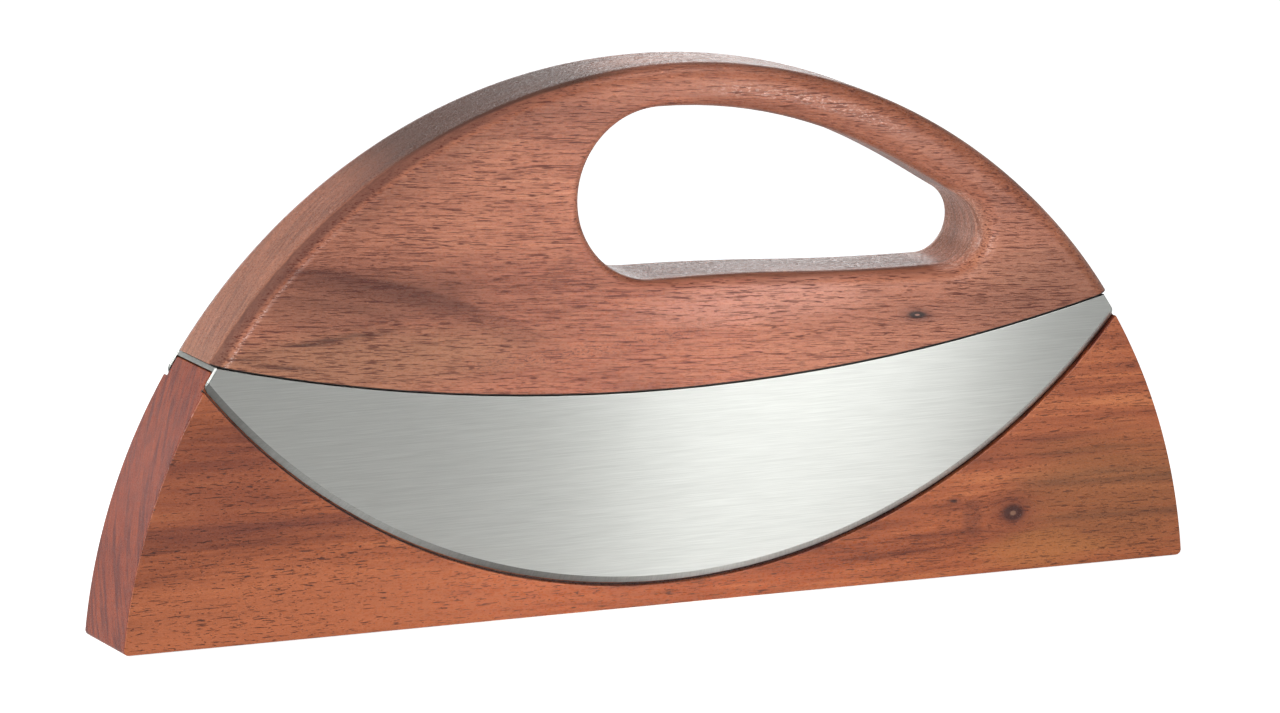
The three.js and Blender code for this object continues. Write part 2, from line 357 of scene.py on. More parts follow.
def openingOutline():
    slope = math.radians(opening["barSlope"])
    leftRadius = (handleHigh.z - opening["barThickness"] - sillZ) / 2
    right = openingEnd()
    rightX, rightZ, r = right
    leftX = rightX + r - opening["width"] + leftRadius
    left = circle(leftX, sillZ + leftRadius, leftRadius)
    barEnd = (rightX + r * math.sin(slope), rightZ + r * math.cos(slope))
    run = barEnd[0] - leftX
    straight = opening["barStraightShare"] * run
    middleX = (leftX + rightX) / 2
    path = [[(leftX, left.z + leftRadius), None, None]]
    flat = (leftX + opening["barFlatShare"] * run, left.z + leftRadius)
    steep = (barEnd[0] - straight * math.cos(slope), barEnd[1] + straight * math.sin(slope))
    bendTo(path, flat, steep, barEnd)
    arcTo(path, right, (rightX, rightZ - r))
    bendTo(path, (middleX, rightZ - r), (middleX, sillZ), (leftX, sillZ))
    arcTo(path, left, (leftX - leftRadius, left.z))
    arcTo(path, left, path[0][0])
    return path


def ease(value, start, end):
    t = min(max((value - start) / (end - start), 0), 1)
    return t * t * (3 - 2 * t)


def roundAt(p):  # radius of the round-over at a point of the handle's face edges
    s, r = handleShape, handleShape["rounds"]
    if math.hypot(p.x - crown.x, p.z - crown.z) > crown.r - 10 * touch:
        overBar = ease(p.x, *s["barStart"]) * (1 - ease(p.x, *s["barStop"]))
        return r["crown"] + (r["bar"] - r["crown"]) * overBar
    along = r["barRim"] if p.z > s["rimMiddle"] else r["sill"]
    rim = r["rim"] + (along - r["rim"]) * ease(p.x, *s["rimStart"])
    return rim + (r["endRim"] - rim) * ease(p.x, *s["rimStop"])


def makeHandle():
    block = roundBlock("handleBlock", crown, -faceY, faceY)
    carve(block, drawnBlock("openingTool", openingOutline(), -2 * faceY, 2 * faceY), "DIFFERENCE")
    cleanMesh(block)

    def onFace(a, b):
        return abs(a.y - b.y) < touch

    selectSharp(block, onFace)
    widest = max(handleShape["rounds"].values())
    weights = block.data.attributes.new("bevel_weight_edge", "FLOAT", "EDGE")
    points = block.data.vertices
    for edge in block.data.edges:
        if edge.select:
            middle = (points[edge.vertices[0]].co + points[edge.vertices[1]].co) / 2 / mm
            weights.data[edge.index].value = roundAt(middle) / widest
    bevel = block.modifiers.new("roundOver", "BEVEL")
    bevel.limit_method = "WEIGHT"
    bevel.width = widest * mm
    bevel.segments = handleShape["roundSteps"]
    bevel.use_clamp_overlap = False
    bpy.ops.object.modifier_apply(modifier=bevel.name)
    carve(block, seatBlock(-knife["seatGap"]), "INTERSECT")
    cleanMesh(block)
    smoothFaces(block)
    return block


# Blades: crescents ground on their outer faces along the cutting edge.
bladeShape = {
    "cornerRadius": 1.7,
    "bevelWidth": 1.4,
    "cuttingEdge": 0.45,  # thickness left standing
    "edgeSoft": 0.2,  # along the top and the ends
    "edgeSteps": 3,
}


def grindingCone(sides=360):
    rise = faceY - bladeInnerY - bladeShape["cuttingEdge"]
    fall = bladeShape["bevelWidth"] / rise
    deep = 2 * rise
    inner = cuttingArc.r + fall * (deep - rise)
    outer = inner - fall * 2 * deep
    bpy.ops.object.select_all(action="DESELECT")
    bpy.ops.mesh.primitive_cone_add(
        vertices=sides,
        radius1=inner * mm,
        radius2=outer * mm,
        depth=2 * deep * mm,
        location=(0, -faceY * mm, cuttingArc.z * mm),
        rotation=(math.pi / 2, 0, 0),
    )
    bpy.ops.object.transform_apply()
    return bpy.context.active_object


def bladeOutline():
    r = bladeShape["cornerRadius"]
    bend = circle(*crossing(grown(cuttingArc, -r), grown(outline, -r)), r)
    leftBend = bend._replace(x=-bend.x)
    corner = crossing(seat, outline)
    endStop, edgeStop = towards(outline, bend[:2]), towards(cuttingArc, bend[:2])
    path = [[mirrored(corner), None, None]]
    arcTo(path, seat, corner)
    lineTo(path, endStop)
    arcTo(path, bend, edgeStop)
    arcTo(path, cuttingArc, mirrored(edgeStop))
    arcTo(path, leftBend, mirrored(endStop))
    lineTo(path, mirrored(corner))
    return path


def makeBlade():
    blade = drawnBlock("frontBlade", bladeOutline(), -faceY, -bladeInnerY)
    carve(blade, grindingCone(), "INTERSECT")
    cleanMesh(blade)

    def onOuterFace(a, b):
        return max(a.y, b.y) < touch - faceY

    roundEdges(blade, onOuterFace, bladeShape["edgeSoft"], bladeShape["edgeSteps"])
    smoothFaces(blade, degrees=20)
    lengthwise = blade.data.uv_layers.new(name="brushing")
    for loop in blade.data.loops:
        spot = blade.data.vertices[loop.vertex_index].co
        lengthwise.data[loop.index].uv = (spot.x / mm, spot.z / mm)
    return blade


def turnedBlade(blade):  # the same blade half a turn round, on the back
    turned = ownCopy(blade, "rearBlade")
    turned.rotation_euler.z = math.pi
    bpy.ops.object.transform_apply()
    return turned


# Screws: countersunk, driven up through the bridge into the handle.
screwShape = {
    "inset": 22,  # outer screws from the ends of the blades' top edges
    "length": 16,
    "shank": 4,
    "head": 7.4,
    "rim": 0.3,
    "point": 5,
    "recess": 0.1,  # of the head behind the bridge
    "hole": 0.3,  # gap all round
    "driveWidth": 0.9,
    "driveSpan": 4,
    "driveDepth": 1.3,
    "driveTaper": 0.6,
}
screwDrop = seat.r + knife["bridgeThickness"] - screwShape["recess"]
topCornerX = math.sqrt(seat.r ** 2 - (seat.z - bladeHigh.z) ** 2)
screwSpread = topCornerX - screwShape["inset"]


def screwBlank(name, gap, sides=64):
    head = screwShape["head"] / 2 + gap
    shank = screwShape["shank"] / 2 + gap
    rim = screwShape["rim"] + gap
    bpy.ops.object.select_all(action="DESELECT")
    bpy.ops.mesh.primitive_circle_add(
        vertices=sides,
        radius=head * mm,
        fill_type="NGON",
        location=(0, 0, -gap * mm),
    )
    blank = bpy.context.active_object
    blank.name = name
    bpy.ops.object.transform_apply()
    editMode(blank)
    bpy.ops.mesh.select_all(action="SELECT")
    point = screwShape["point"]
    straight = screwShape["length"] - point - rim - head + shank
    for height, size in ((rim + gap, 1), (head - shank, shank / head), (straight, 1), (point + gap, 1)):
        bpy.ops.mesh.extrude_region_move(TRANSFORM_OT_translate={"value": (0, 0, height * mm)})
        bpy.ops.transform.resize(value=(size, size, 1))
    bpy.ops.mesh.merge(type="CENTER")
    bpy.ops.object.mode_set(mode="OBJECT")
    cleanMesh(blank)
    return blank


def seatScrew(piece, x):  # square to the seat, under the place x along it
    turn = Matrix.Rotation(-math.asin(x / seat.r), 4, "Y")
    up, down = Matrix.Translation((0, 0, seat.z * mm)), Matrix.Translation((0, 0, -screwDrop * mm))
    piece.matrix_world = up @ turn @ down
    selectOnly(piece)
    bpy.ops.object.transform_apply()
    return piece


def makeScrew():
    screw = screwBlank("screw", 0)
    for turn in (0, math.pi / 2):
        bpy.ops.object.select_all(action="DESELECT")
        bpy.ops.mesh.primitive_cube_add(size=2 * mm, rotation=(0, 0, turn))
        slot = bpy.context.active_object
        slot.scale = (screwShape["driveSpan"] / 2, screwShape["driveWidth"] / 2, screwShape["driveDepth"])
        bpy.ops.object.transform_apply()
        editMode(slot)
        bpy.ops.mesh.select_mode(type="FACE")
        bpy.ops.mesh.select_all(action="DESELECT")
        bpy.ops.object.mode_set(mode="OBJECT")
        for face in slot.data.polygons:
            face.select = face.normal.z > 0.9  # the deep end
        bpy.ops.object.mode_set(mode="EDIT")
        taper = screwShape["driveTaper"]
        bpy.ops.transform.resize(value=(taper, taper, 1))
        bpy.ops.object.mode_set(mode="OBJECT")
        carve(screw, slot, "DIFFERENCE")
    cleanMesh(screw)
    smoothFaces(screw)
    return screw


# Bridge: the strip that joins the two blades under the handle.
def makeBridge():
    strip = roundBlock("bridgeStrip", outline, -bladeInnerY, bladeInnerY)
    carve(strip, seatBlock(knife["bridgeThickness"]), "INTERSECT")
    carve(strip, seatBlock(0), "DIFFERENCE")
    hole = screwBlank("screwTool", screwShape["hole"])
    for x in (-screwSpread, 0, screwSpread):
        carve(strip, seatScrew(ownCopy(hole, "holeTool"), x), "DIFFERENCE")
    bpy.data.objects.remove(hole)
    cleanMesh(strip)
    smoothFaces(strip, degrees=20)
    return strip


# Node helpers for the materials.
def newTree(name):
    material = bpy.data.materials.new(name)
    material.use_nodes = True
    material.node_tree.nodes.clear()
    return material, material.node_tree


def plug(tree, socket, value):
    if isinstance(value, bpy.types.NodeSocket):
        tree.links.new(value, socket)
    else:
        socket.default_value = value


def add(tree, kind, inputs=None, **settings):
    made = tree.nodes.new(kind)
    for key, value in settings.items():
        setattr(made, key, value)
    for key, value in (inputs or {}).items():
        plug(tree, made.inputs[key], value)
    return made


def calc(tree, operation, *values):
    made = tree.nodes.new("ShaderNodeMath")
    made.operation = operation
    for socket, value in zip(made.inputs, values):
        plug(tree, socket, value)
    return made.outputs[0]


def plus(tree, a, b):
    return calc(tree, "ADD", a, b)


def minus(tree, a, b):
    return calc(tree, "SUBTRACT", a, b)


def times(tree, a, b):
    return calc(tree, "MULTIPLY", a, b)


def distance(tree, a, b):  # from two offsets at right angles
    return calc(tree, "SQRT", plus(tree, times(tree, a, a), times(tree, b, b)))


def fading(tree, far, tight):  # one in the middle, nothing far off
    return calc(tree, "POWER", math.e, times(tree, far, -tight))


def span(tree, value, fromLow, fromHigh, toLow=0.0, toHigh=1.0):  # smooth change of range
    made = add(tree, "ShaderNodeMapRange", interpolation_type="SMOOTHSTEP")
    for socket, number in zip(made.inputs, (value, fromLow, fromHigh, toLow, toHigh)):
        plug(tree, socket, number)
    return made.outputs[0]


def stretched(tree, vector, lengths):  # coordinates in lengths of each axis
    scale = tuple(1 / length for length in lengths)
    return add(tree, "ShaderNodeMapping", {"Vector": vector, "Scale": scale}).outputs[0]


def noise(tree, vector, detail=2.0, roughness=0.5):
    return add(tree, "ShaderNodeTexNoise", {
        "Vector": vector,
        "Scale": 1.0,
        "Detail": detail,
        "Roughness": roughness,
    })


def spotInMm(tree, place):
    values = {"Vector": place.outputs["Object"], "Scale": (1 / mm,) * 3}
    return add(tree, "ShaderNodeMapping", values).outputs[0]


def tint(tree, amount, under, over, blend="MIX"):
    made = add(tree, "ShaderNodeMix", data_type="RGBA", blend_type=blend)
    for index, value in ((0, amount), (6, under), (7, over)):
        plug(tree, made.inputs[index], value)
    return made.outputs[2]


def ramp(tree, value, stops):
    made = add(tree, "ShaderNodeValToRGB", {"Fac": value})
    elements = made.color_ramp.elements
    while len(elements) < len(stops):
        elements.new(1.0)
    for element, (place, colour) in zip(elements, stops):
        element.position = place
        element.color = colour
    return made.outputs[0]


def rgb(red, green, blue):  # a screen colour, 0 to 255, as the linear colour that nodes take
    def linear(c):
        c = c / 255
        return c / 12.92 if c <= 0.04045 else ((c + 0.055) / 1.055) ** 2.4
    return (linear(red), linear(green), linear(blue), 1.0)


# Wood: grain along X in growth layers, bent round the knots, with end grain where it is cut across.
woodGrain = {  # levels between which a noise or a slant comes in, the same for both woods
    "bandTear": (0.38, 0.6),
    "fleckTear": (0.54, 0.62),
    "rimSlant": (0.15, 0.5),
    "endRings": (0.35, 0.6),
    "sideLines": (0.42, 0.66),
    # where the painted shade on the round-over comes in and stops
    "rimShadeSlant": (0.12, 0.3),
    "rimShadeStop": (0.75, 0.92),
    "poreFade": (10, 70),  # mm along X
    "heart": (0.2, 0.7),
    "heartLeast": 0.35,
    "core": (0.3, 0.7),
    "sheen": (0.36, 0.62),
    "jointEnd": 0.8,
}


def woodMaterial(name, look):
    material, tree = newTree(name)
    place = add(tree, "ShaderNodeTexCoord")
    spot = spotInMm(tree, place)
    drift = noise(tree, stretched(tree, spot, look["driftLengths"])).outputs["Color"]
    drift = add(tree, "ShaderNodeVectorMath", {0: drift, 1: (0.5, 0.5, 0.5)}, operation="SUBTRACT").outputs[0]
    drift = add(tree, "ShaderNodeVectorMath", {0: drift, 1: look["drift"]}, operation="MULTIPLY").outputs[0]
    moved = add(tree, "ShaderNodeVectorMath", {0: spot, 1: drift}, operation="ADD").outputs[0]
    x, y, z = add(tree, "ShaderNodeSeparateXYZ", {0: moved}).outputs
    rise = plus(tree, z, times(tree, x, look["slope"]))

    # knots push the grain aside
    halos = []
    for knot in look["knots"]:
        kx, ky, kz = knot["at"]
        kz = kz + kx * look["slope"]
        away = [
            calc(tree, "DIVIDE", minus(tree, axis, middle), size)
            for axis, middle, size in zip((x, y, rise), (kx, ky, kz), knot["reach"])
        ]
        squares = [times(tree, a, a) for a in away]
        far = plus(tree, plus(tree, squares[0], squares[1]), squares[2])
        push = times(tree, fading(tree, far, 1.0), knot["push"])
        lean = times(tree, minus(tree, rise, kz), push)
        halos.append((knot, far))
        rise = minus(tree, rise, lean)
    fibres = add(tree, "ShaderNodeCombineXYZ", {0: x, 1: y, 2: rise}).outputs[0]

    # tone of the growth layers, broad and fine
    turn = Matrix.Rotation(math.radians(look["layerAngle"]), 3, "X").to_euler()
    layers = add(tree, "ShaderNodeMapping", {"Vector": fibres, "Rotation": tuple(turn)}).outputs[0]
    broad = noise(tree, stretched(tree, layers, look["broadLengths"]), detail=3.0, roughness=0.55).outputs[0]
    fine = noise(tree, stretched(tree, layers, look["fineLengths"]), detail=4.0, roughness=0.65).outputs[0]
    share = look["fineShare"]
    tone = plus(tree, times(tree, broad, 1 - share), times(tree, fine, share))
    colour = ramp(tree, tone, look["tones"])

    # patches, paler or darker than the grain around them; the pale one under the opening is a painted sheen
    frayed = noise(tree, stretched(tree, fibres, look["frayLengths"]), detail=3.0, roughness=0.6).outputs[0]
    for patch in look["patches"]:
        (px, pz), (rx, rz) = patch["at"], patch["reach"]
        dx = calc(tree, "DIVIDE", minus(tree, x, px), rx)
        dz = calc(tree, "DIVIDE", minus(tree, z, pz), rz)
        off = plus(tree, times(tree, dx, dx), times(tree, dz, dz))
        ragged = times(tree, minus(tree, frayed, 0.5), look["patchFray"])
        off = plus(tree, off, ragged)
        colour = tint(tree, span(tree, off, 0.0, 1.0, patch["strength"], 0.0), colour, patch["tint"])

    # which way the surface faces
    endwise, facewise, upwards = add(tree, "ShaderNodeSeparateXYZ", {0: place.outputs["Normal"]}).outputs
    slant = calc(tree, "ABSOLUTE", facewise)
    broadside = span(tree, slant, *look["sideFrom"])
    grit = noise(tree, stretched(tree, fibres, look["gritLengths"]), detail=2.0, roughness=0.6).outputs[0]

    # bands along arcs, sharper above than below, and flecks torn finer; some bands are painted shade or light
    # and some flecks are painted highlights, as marked where they are listed
    # roughness added where shade is painted on the rims
    dullAndShade = 0.0
    for band in look["bands"] + look["flecksAndGlints"]:
        cx, cz, radius = band["arc"]
        ring = distance(tree, minus(tree, x, cx), minus(tree, z, cz))
        off = minus(tree, ring, radius)
        mask = span(tree, off, 0.0, band["above"], 1.0, 0.0)
        mask = times(tree, mask, span(tree, off, -band["below"], 0.0))
        start, end, soft = band["along"]
        mask = times(tree, mask, span(tree, x, start - soft, start + soft))
        mask = times(tree, mask, span(tree, x, end - soft, end + soft, 1.0, 0.0))
        if not band.get("sides"):
            mask = times(tree, mask, broadside)
        if band in look["flecksAndGlints"]:
            torn = span(tree, grit, *woodGrain["fleckTear"])
        else:
            torn = span(tree, frayed, *woodGrain["bandTear"], 1 - band["fray"], 1.0)
        if "rough" in band:  # duller where it rounds over to the face
            rim = times(tree, mask, span(tree, slant, *woodGrain["rimSlant"], *band["rough"]))
            dullAndShade = plus(tree, dullAndShade, rim)
        mask = times(tree, times(tree, mask, torn), band["strength"])
        colour = tint(tree, mask, colour, band["tint"])

    # end grain, which on the handle is also a painted sheen, paler and greyer
    across = span(tree, calc(tree, "ABSOLUTE", endwise), *look["endFrom"])
    colour = tint(tree, times(tree, across, look["endStrength"]), colour, look["endTint"])
    rings = span(tree, fine, *woodGrain["endRings"], look["endRings"], 0.0)
    colour = tint(tree, times(tree, across, rings), colour, look["endRingTint"])

    # streaks along the narrow sides, and painted shade where a surface faces up
    narrow = minus(tree, 1.0, broadside)
    lines = noise(tree, stretched(tree, layers, look["sideLengths"]), detail=3.0, roughness=0.6).outputs[0]
    lines = span(tree, lines, *woodGrain["sideLines"], 0.0, look["sideStreaks"])
    colour = tint(tree, times(tree, narrow, lines), colour, look["sideTint"])
    # painted shade: darker where a surface faces up
    above = span(tree, upwards, *look["topFrom"])
    above = times(tree, above, span(tree, x, *look["topAlong"], look["topStrength"], 0.0))
    colour = tint(tree, above, colour, look["topShadeTint"])

    # painted shade on the round-over at the left, made rougher there as well
    if "rimShadeTint" in look:
        rimShade = span(tree, slant, *woodGrain["rimShadeSlant"])
        rimShade = times(tree, rimShade, span(tree, slant, *woodGrain["rimShadeStop"], 1.0, 0.0))
        rimShade = times(tree, rimShade, span(tree, x, *look["rimShadeAlong"], 1.0, 0.0))
        dullAndShade = plus(tree, dullAndShade, times(tree, rimShade, look["rimShadeRough"]))
        colour = tint(tree, times(tree, rimShade, look["rimShadeStrength"]), colour, look["rimShadeTint"])

    # pores, more of them in some places and fewer at the right and on the narrow sides
    crowd = noise(tree, stretched(tree, fibres, look["crowdLengths"])).outputs[0]
    crowd = times(tree, minus(tree, crowd, 0.5), look["crowding"])
    pores = None
    for lengths, start, depth in look["pores"]:
        speck = plus(tree, noise(tree, stretched(tree, fibres, lengths), detail=1.0).outputs[0], crowd)
        speck = span(tree, speck, start, start + look["poreSoft"], 0.0, depth)
        pores = speck if pores is None else calc(tree, "MAXIMUM", pores, speck)
    pores = times(tree, pores, span(tree, narrow, 0.0, 1.0, 1.0, look["sidePores"]))
    pores = times(tree, pores, span(tree, x, *woodGrain["poreFade"], 1.0, look["rightPores"]))
    colour = tint(tree, pores, colour, look["poreTint"])

    # knot hearts
    for knot, far in halos:
        ring = fading(tree, far, knot["haloTight"])
        colour = tint(tree, times(tree, ring, knot["haloStrength"]), colour, knot["halo"])
        heart = fading(tree, far, knot["heartTight"])
        broken = plus(tree, woodGrain["heartLeast"], fine)
        heart = times(tree, span(tree, heart, *woodGrain["heart"]), broken)
        colour = tint(tree, heart, colour, knot["heart"])
        core = fading(tree, far, knot["coreTight"])
        colour = tint(tree, span(tree, core, *woodGrain["core"]), colour, knot["core"])

    # shade deep in the joint with the blades
    ax, ay, az = add(tree, "ShaderNodeSeparateXYZ", {0: spot}).outputs
    joint = look["joint"]
    ring = distance(tree, minus(tree, ax, joint.x), minus(tree, az, joint.z))
    start, full, end = look["jointReach"]
    deep = times(tree, span(tree, ring, start, full), calc(tree, "LESS_THAN", ring, end))
    depth = calc(tree, "ABSOLUTE", ay)
    low, high = look["jointDepth"]
    offEnds = calc(tree, "LESS_THAN", calc(tree, "ABSOLUTE", endwise), woodGrain["jointEnd"])
    for test in (calc(tree, "GREATER_THAN", depth, low), calc(tree, "LESS_THAN", depth, high), offEnds):
        deep = times(tree, deep, test)
    colour = tint(tree, deep, colour, look["jointTint"])

    # a broken sheen: smoother and rougher flecks, with the pores as small pits
    rough = span(tree, grit, *woodGrain["sheen"], look["roughness"], look["roughness"] + look["roughSpread"])
    rough = plus(tree, rough, times(tree, pores, look["poreRough"]))
    rough = plus(tree, rough, dullAndShade)
    height = minus(tree, times(tree, fine, look["fineHeight"]), pores)
    height = plus(tree, height, times(tree, grit, look["gritHeight"]))
    bump = add(tree, "ShaderNodeBump", {
        "Strength": look["bump"],
        "Distance": look["bumpDepth"] * mm,
        "Height": height,
    })
    shader = add(tree, "ShaderNodeBsdfPrincipled", {
        "Base Color": colour,
        "Roughness": rough,
        "Normal": bump.outputs[0],
        "IOR": look["ior"],
    })
    out = add(tree, "ShaderNodeOutputMaterial")
    tree.links.new(shader.outputs[0], out.inputs["Surface"])
    return material


handleLook = {
    "driftLengths": (60, 22, 24),  # mm along X, Y and Z, as for the other lengths
    "drift": (0, 1.6, 1.8),  # how far the grain wanders
    "slope": 0.07,  # fall of the grain towards the right
    "layerAngle": 14,  # degrees
    "broadLengths": (120, 5, 40),
    "fineLengths": (16, 0.7, 0.45),
    "fineShare": 0.5,
    "tones": [
        (0.36, rgb(140, 82, 62)),
        (0.46, rgb(168, 104, 80)),
        (0.55, rgb(184, 117, 90)),
        (0.65, rgb(202, 136, 106)),
    ],
    "frayLengths": (22, 2, 0.9),
    "patchFray": 0.9,
    "patches": [
        {"at": (-72, 58), "reach": (52, 9), "tint": rgb(166, 118, 88), "strength": 0.55},
        {"at": (96, 60), "reach": (34, 16), "tint": rgb(126, 78, 58), "strength": 0.6},
        {"at": (-72, 71), "reach": (34, 8), "tint": rgb(122, 74, 56), "strength": 0.6},
        # painted sheen under the opening
        {"at": (20, 64), "reach": (36, 6), "tint": rgb(216, 156, 136), "strength": 0.45},
    ],
    "bands": [  # along: start, end and softness of each, along X
        {"arc": (crown.x, crown.z, crown.r - 3), "above": 4, "below": 7, "along": (-78, -22, 12),
         "tint": rgb(98, 58, 44), "strength": 0.4, "fray": 0.5},
        # painted shade on the sill's front round-over, rougher there as well
        {"arc": (-34, -1928.7, 2000), "above": 1.2, "below": 3.5, "along": (-12, 66, 6),
         "tint": rgb(128, 76, 54), "strength": 0.7, "fray": 0.3, "rough": (0.03, 0.4), "sides": True},
        # painted light on the opening's right wall
        {"arc": openingEnd(), "above": 1.5, "below": 3, "along": (64, 90, 4),
         "tint": rgb(236, 172, 150), "strength": 0.7, "fray": 0.3, "sides": True},
        {"arc": (-111, -97, 177), "above": 1.6, "below": 6.0, "along": (-98, -38, 22),
         "tint": rgb(92, 46, 34), "strength": 0.92, "fray": 0.3},
        {"arc": (-111, -97, 171), "above": 1.5, "below": 2.5, "along": (-92, -66, 8),
         "tint": rgb(112, 66, 50), "strength": 0.5, "fray": 0.6},
        {"arc": (-60, -174, 237.8), "above": 1.4, "below": 1.4, "along": (-98, -66, 8),
         "tint": rgb(72, 42, 34), "strength": 0.8, "fray": 1.0},
        {"arc": (seat.x, seat.z, seat.r - 2), "above": 1.2, "below": 1.4, "along": (-102, -82, 6),
         "tint": rgb(80, 46, 38), "strength": 0.75, "fray": 0.9},
    ],
    "flecksAndGlints": [
        {"arc": (-50, 420, 365), "above": 3.0, "below": 3.0, "along": (-46, 8, 10),
         "tint": rgb(92, 46, 36), "strength": 0.7},
        # painted highlight along the grip bar
        {"arc": (crown.x, crown.z, crown.r - 5), "above": 2.5, "below": 2.0, "along": (10, 52, 8),
         "tint": rgb(228, 188, 174), "strength": 0.75},
        # painted glints on the opening's right wall
        {"arc": openingEnd(), "above": 1.2, "below": 3, "along": (64, 90, 4),
         "tint": rgb(252, 214, 198), "strength": 1.0, "sides": True},
    ],
    "knots": [
        {"at": (58.7, -10.5, 58.5), "reach": (6, 9, 2.2), "push": 0.8,
         "halo": rgb(84, 42, 34), "haloTight": 2.2, "haloStrength": 0.9,
         "heart": rgb(30, 16, 13), "heartTight": 7, "core": rgb(150, 108, 94), "coreTight": 70},
    ],
    "crowdLengths": (50, 14, 14),
    "crowding": 0.10,
    "poreSoft": 0.05,
    "pores": [  # lengths, level and depth
        ((6.0, 0.5, 0.22), 0.625, 0.9),
        ((2.8, 0.45, 0.18), 0.625, 0.85),
    ],
    "sidePores": 0.3,
    "rightPores": 1.0,
    "poreTint": rgb(88, 34, 27),
    "endFrom": (0.30, 0.85),
    "endStrength": 0.45,
    # end grain tone, partly a painted sheen: paler and greyer on the crown's sides and the opening's right
    # wall
    "endTint": rgb(168, 120, 98),
    "endRings": 0.25,
    "endRingTint": rgb(110, 70, 58),
    "sideFrom": (0.35, 0.8),
    "sideLengths": (18, 0.9, 12),
    "sideStreaks": 0.45,
    "sideTint": rgb(92, 62, 52),
    # painted shade on the crown's round-over at the left
    "rimShadeAlong": (-50, -20),
    "rimShadeRough": 0.45,
    "rimShadeStrength": 0.65,
    "rimShadeTint": rgb(84, 50, 44),
    # painted shade on the surfaces that face up, at the left of the crown
    "topFrom": (0.80, 0.90),
    "topAlong": (-24, 0),
    "topStrength": 0.85,
    "topShadeTint": rgb(74, 49, 38),
    "joint": seat,
    "jointReach": (seat.r - knife["seatGap"] - 0.3, seat.r - knife["seatGap"] - 0.05, seat.r),
    "jointDepth": (-1, faceY + 1),
    "jointTint": rgb(26, 16, 13),
    "gritLengths": (0.9, 0.35, 0.35),
    "gritHeight": 0.6,
    "roughness": 0.22,
    "roughSpread": 0.2,
    "poreRough": 0.25,
    "fineHeight": 0.3,
    "bump": 0.7,
    "bumpDepth": 0.10,
    "ior": 1.45,
}
standLook = {
    "driftLengths": (60, 22, 22),
    "drift": (0, 2.0, 2.4),
    "slope": 0.015,
    "layerAngle": 28,
    "broadLengths": (110, 2.6, 40),
    "fineLengths": (20, 0.5, 4),
    "fineShare": 0.42,
    "tones": [
        (0.37, rgb(116, 55, 33)),
        (0.46, rgb(154, 81, 48)),
        (0.55, rgb(174, 95, 57)),
        (0.65, rgb(196, 116, 72)),
    ],
    "frayLengths": (26, 2, 1.2),
    "patchFray": 1.2,
    "patches": [
        {"at": (-104, 34), "reach": (26, 14), "tint": rgb(136, 68, 45), "strength": 0.55},
        {"at": (-80, 4), "reach": (75, 16), "tint": rgb(198, 114, 72), "strength": 0.65},
        {"at": (108, 14), "reach": (34, 20), "tint": rgb(146, 92, 52), "strength": 0.6},
        {"at": (90, 4), "reach": (20, 5), "tint": rgb(184, 116, 64), "strength": 0.6},
        {"at": (73.2, 12.5), "reach": (3.4, 6.5), "tint": rgb(112, 58, 40), "strength": 0.5},
    ],
    "bands": [
        {"arc": (-104, -900, 939), "above": 2.0, "below": 3.0, "along": (-140, -92, 8),
         "tint": rgb(112, 52, 36), "strength": 0.6, "fray": 0.4},
        {"arc": (-95, -900, 925.5), "above": 2.0, "below": 5.0, "along": (-140, -66, 12),
         "tint": rgb(112, 54, 40), "strength": 0.65, "fray": 0.5},
        {"arc": (100, -500, 519.5), "above": 2.5, "below": 3.5, "along": (86, 130, 8),
         "tint": rgb(92, 60, 38), "strength": 0.7, "fray": 0.7},
        {"arc": (100, -500, 511), "above": 1.5, "below": 2.5, "along": (92, 130, 8),
         "tint": rgb(100, 62, 40), "strength": 0.5, "fray": 0.8},
    ],
    "flecksAndGlints": [],
    "knots": [
        {"at": (83.0, -10.5, 13.0), "reach": (5.5, 9, 4.2), "push": 0.8,
         "halo": rgb(104, 44, 32), "haloTight": 1.4, "haloStrength": 0.85,
         "heart": rgb(60, 27, 22), "heartTight": 3.6, "core": rgb(134, 96, 76), "coreTight": 40},
        {"at": (68.5, -10.5, 17.0), "reach": (2.6, 6, 1.0), "push": 0.6,
         "halo": rgb(90, 44, 34), "haloTight": 2, "haloStrength": 0.7,
         "heart": rgb(66, 36, 30), "heartTight": 8, "core": rgb(90, 50, 40), "coreTight": 200},
    ],
    "crowdLengths": (44, 12, 12),
    "crowding": 0.10,
    "poreSoft": 0.05,
    "pores": [
        ((3.4, 0.4, 0.24), 0.64, 0.9),
        ((1.2, 0.36, 0.24), 0.66, 0.85),
    ],
    "sidePores": 0.3,
    "rightPores": 0.8,
    "poreTint": rgb(66, 26, 19),
    "endFrom": (0.5, 0.9),
    "endStrength": 0.8,
    "endTint": rgb(143, 58, 33),
    "endRings": 0.4,
    "endRingTint": rgb(96, 44, 36),
    "sideFrom": (0.35, 0.8),
    "sideLengths": (14, 1.3, 12),
    "sideStreaks": 0.75,
    "sideTint": rgb(86, 36, 34),
    # painted shade on the surfaces that face up, all along
    "topFrom": (0.80, 0.90),
    "topAlong": (200, 210),  # past the right end, so all along
    "topStrength": 0.3,
    "topShadeTint": rgb(96, 50, 40),
    "joint": cuttingArc,
    "jointReach": (cuttingArc.r, cuttingArc.r + 0.4, cuttingArc.r + standShape["rebateGap"] + 0.1),
    "jointDepth": (bladeInnerY - 0.5, bladeInnerY - 0.2),
    "jointTint": rgb(44, 22, 16),
    "gritLengths": (0.9, 0.35, 0.35),
    "gritHeight": 0.4,
    "roughness": 0.22,
    "roughSpread": 0.2,
    "poreRough": 0.25,
    "fineHeight": 0.3,
    "bump": 0.7,
    "bumpDepth": 0.10,
    "ior": 1.45,
}
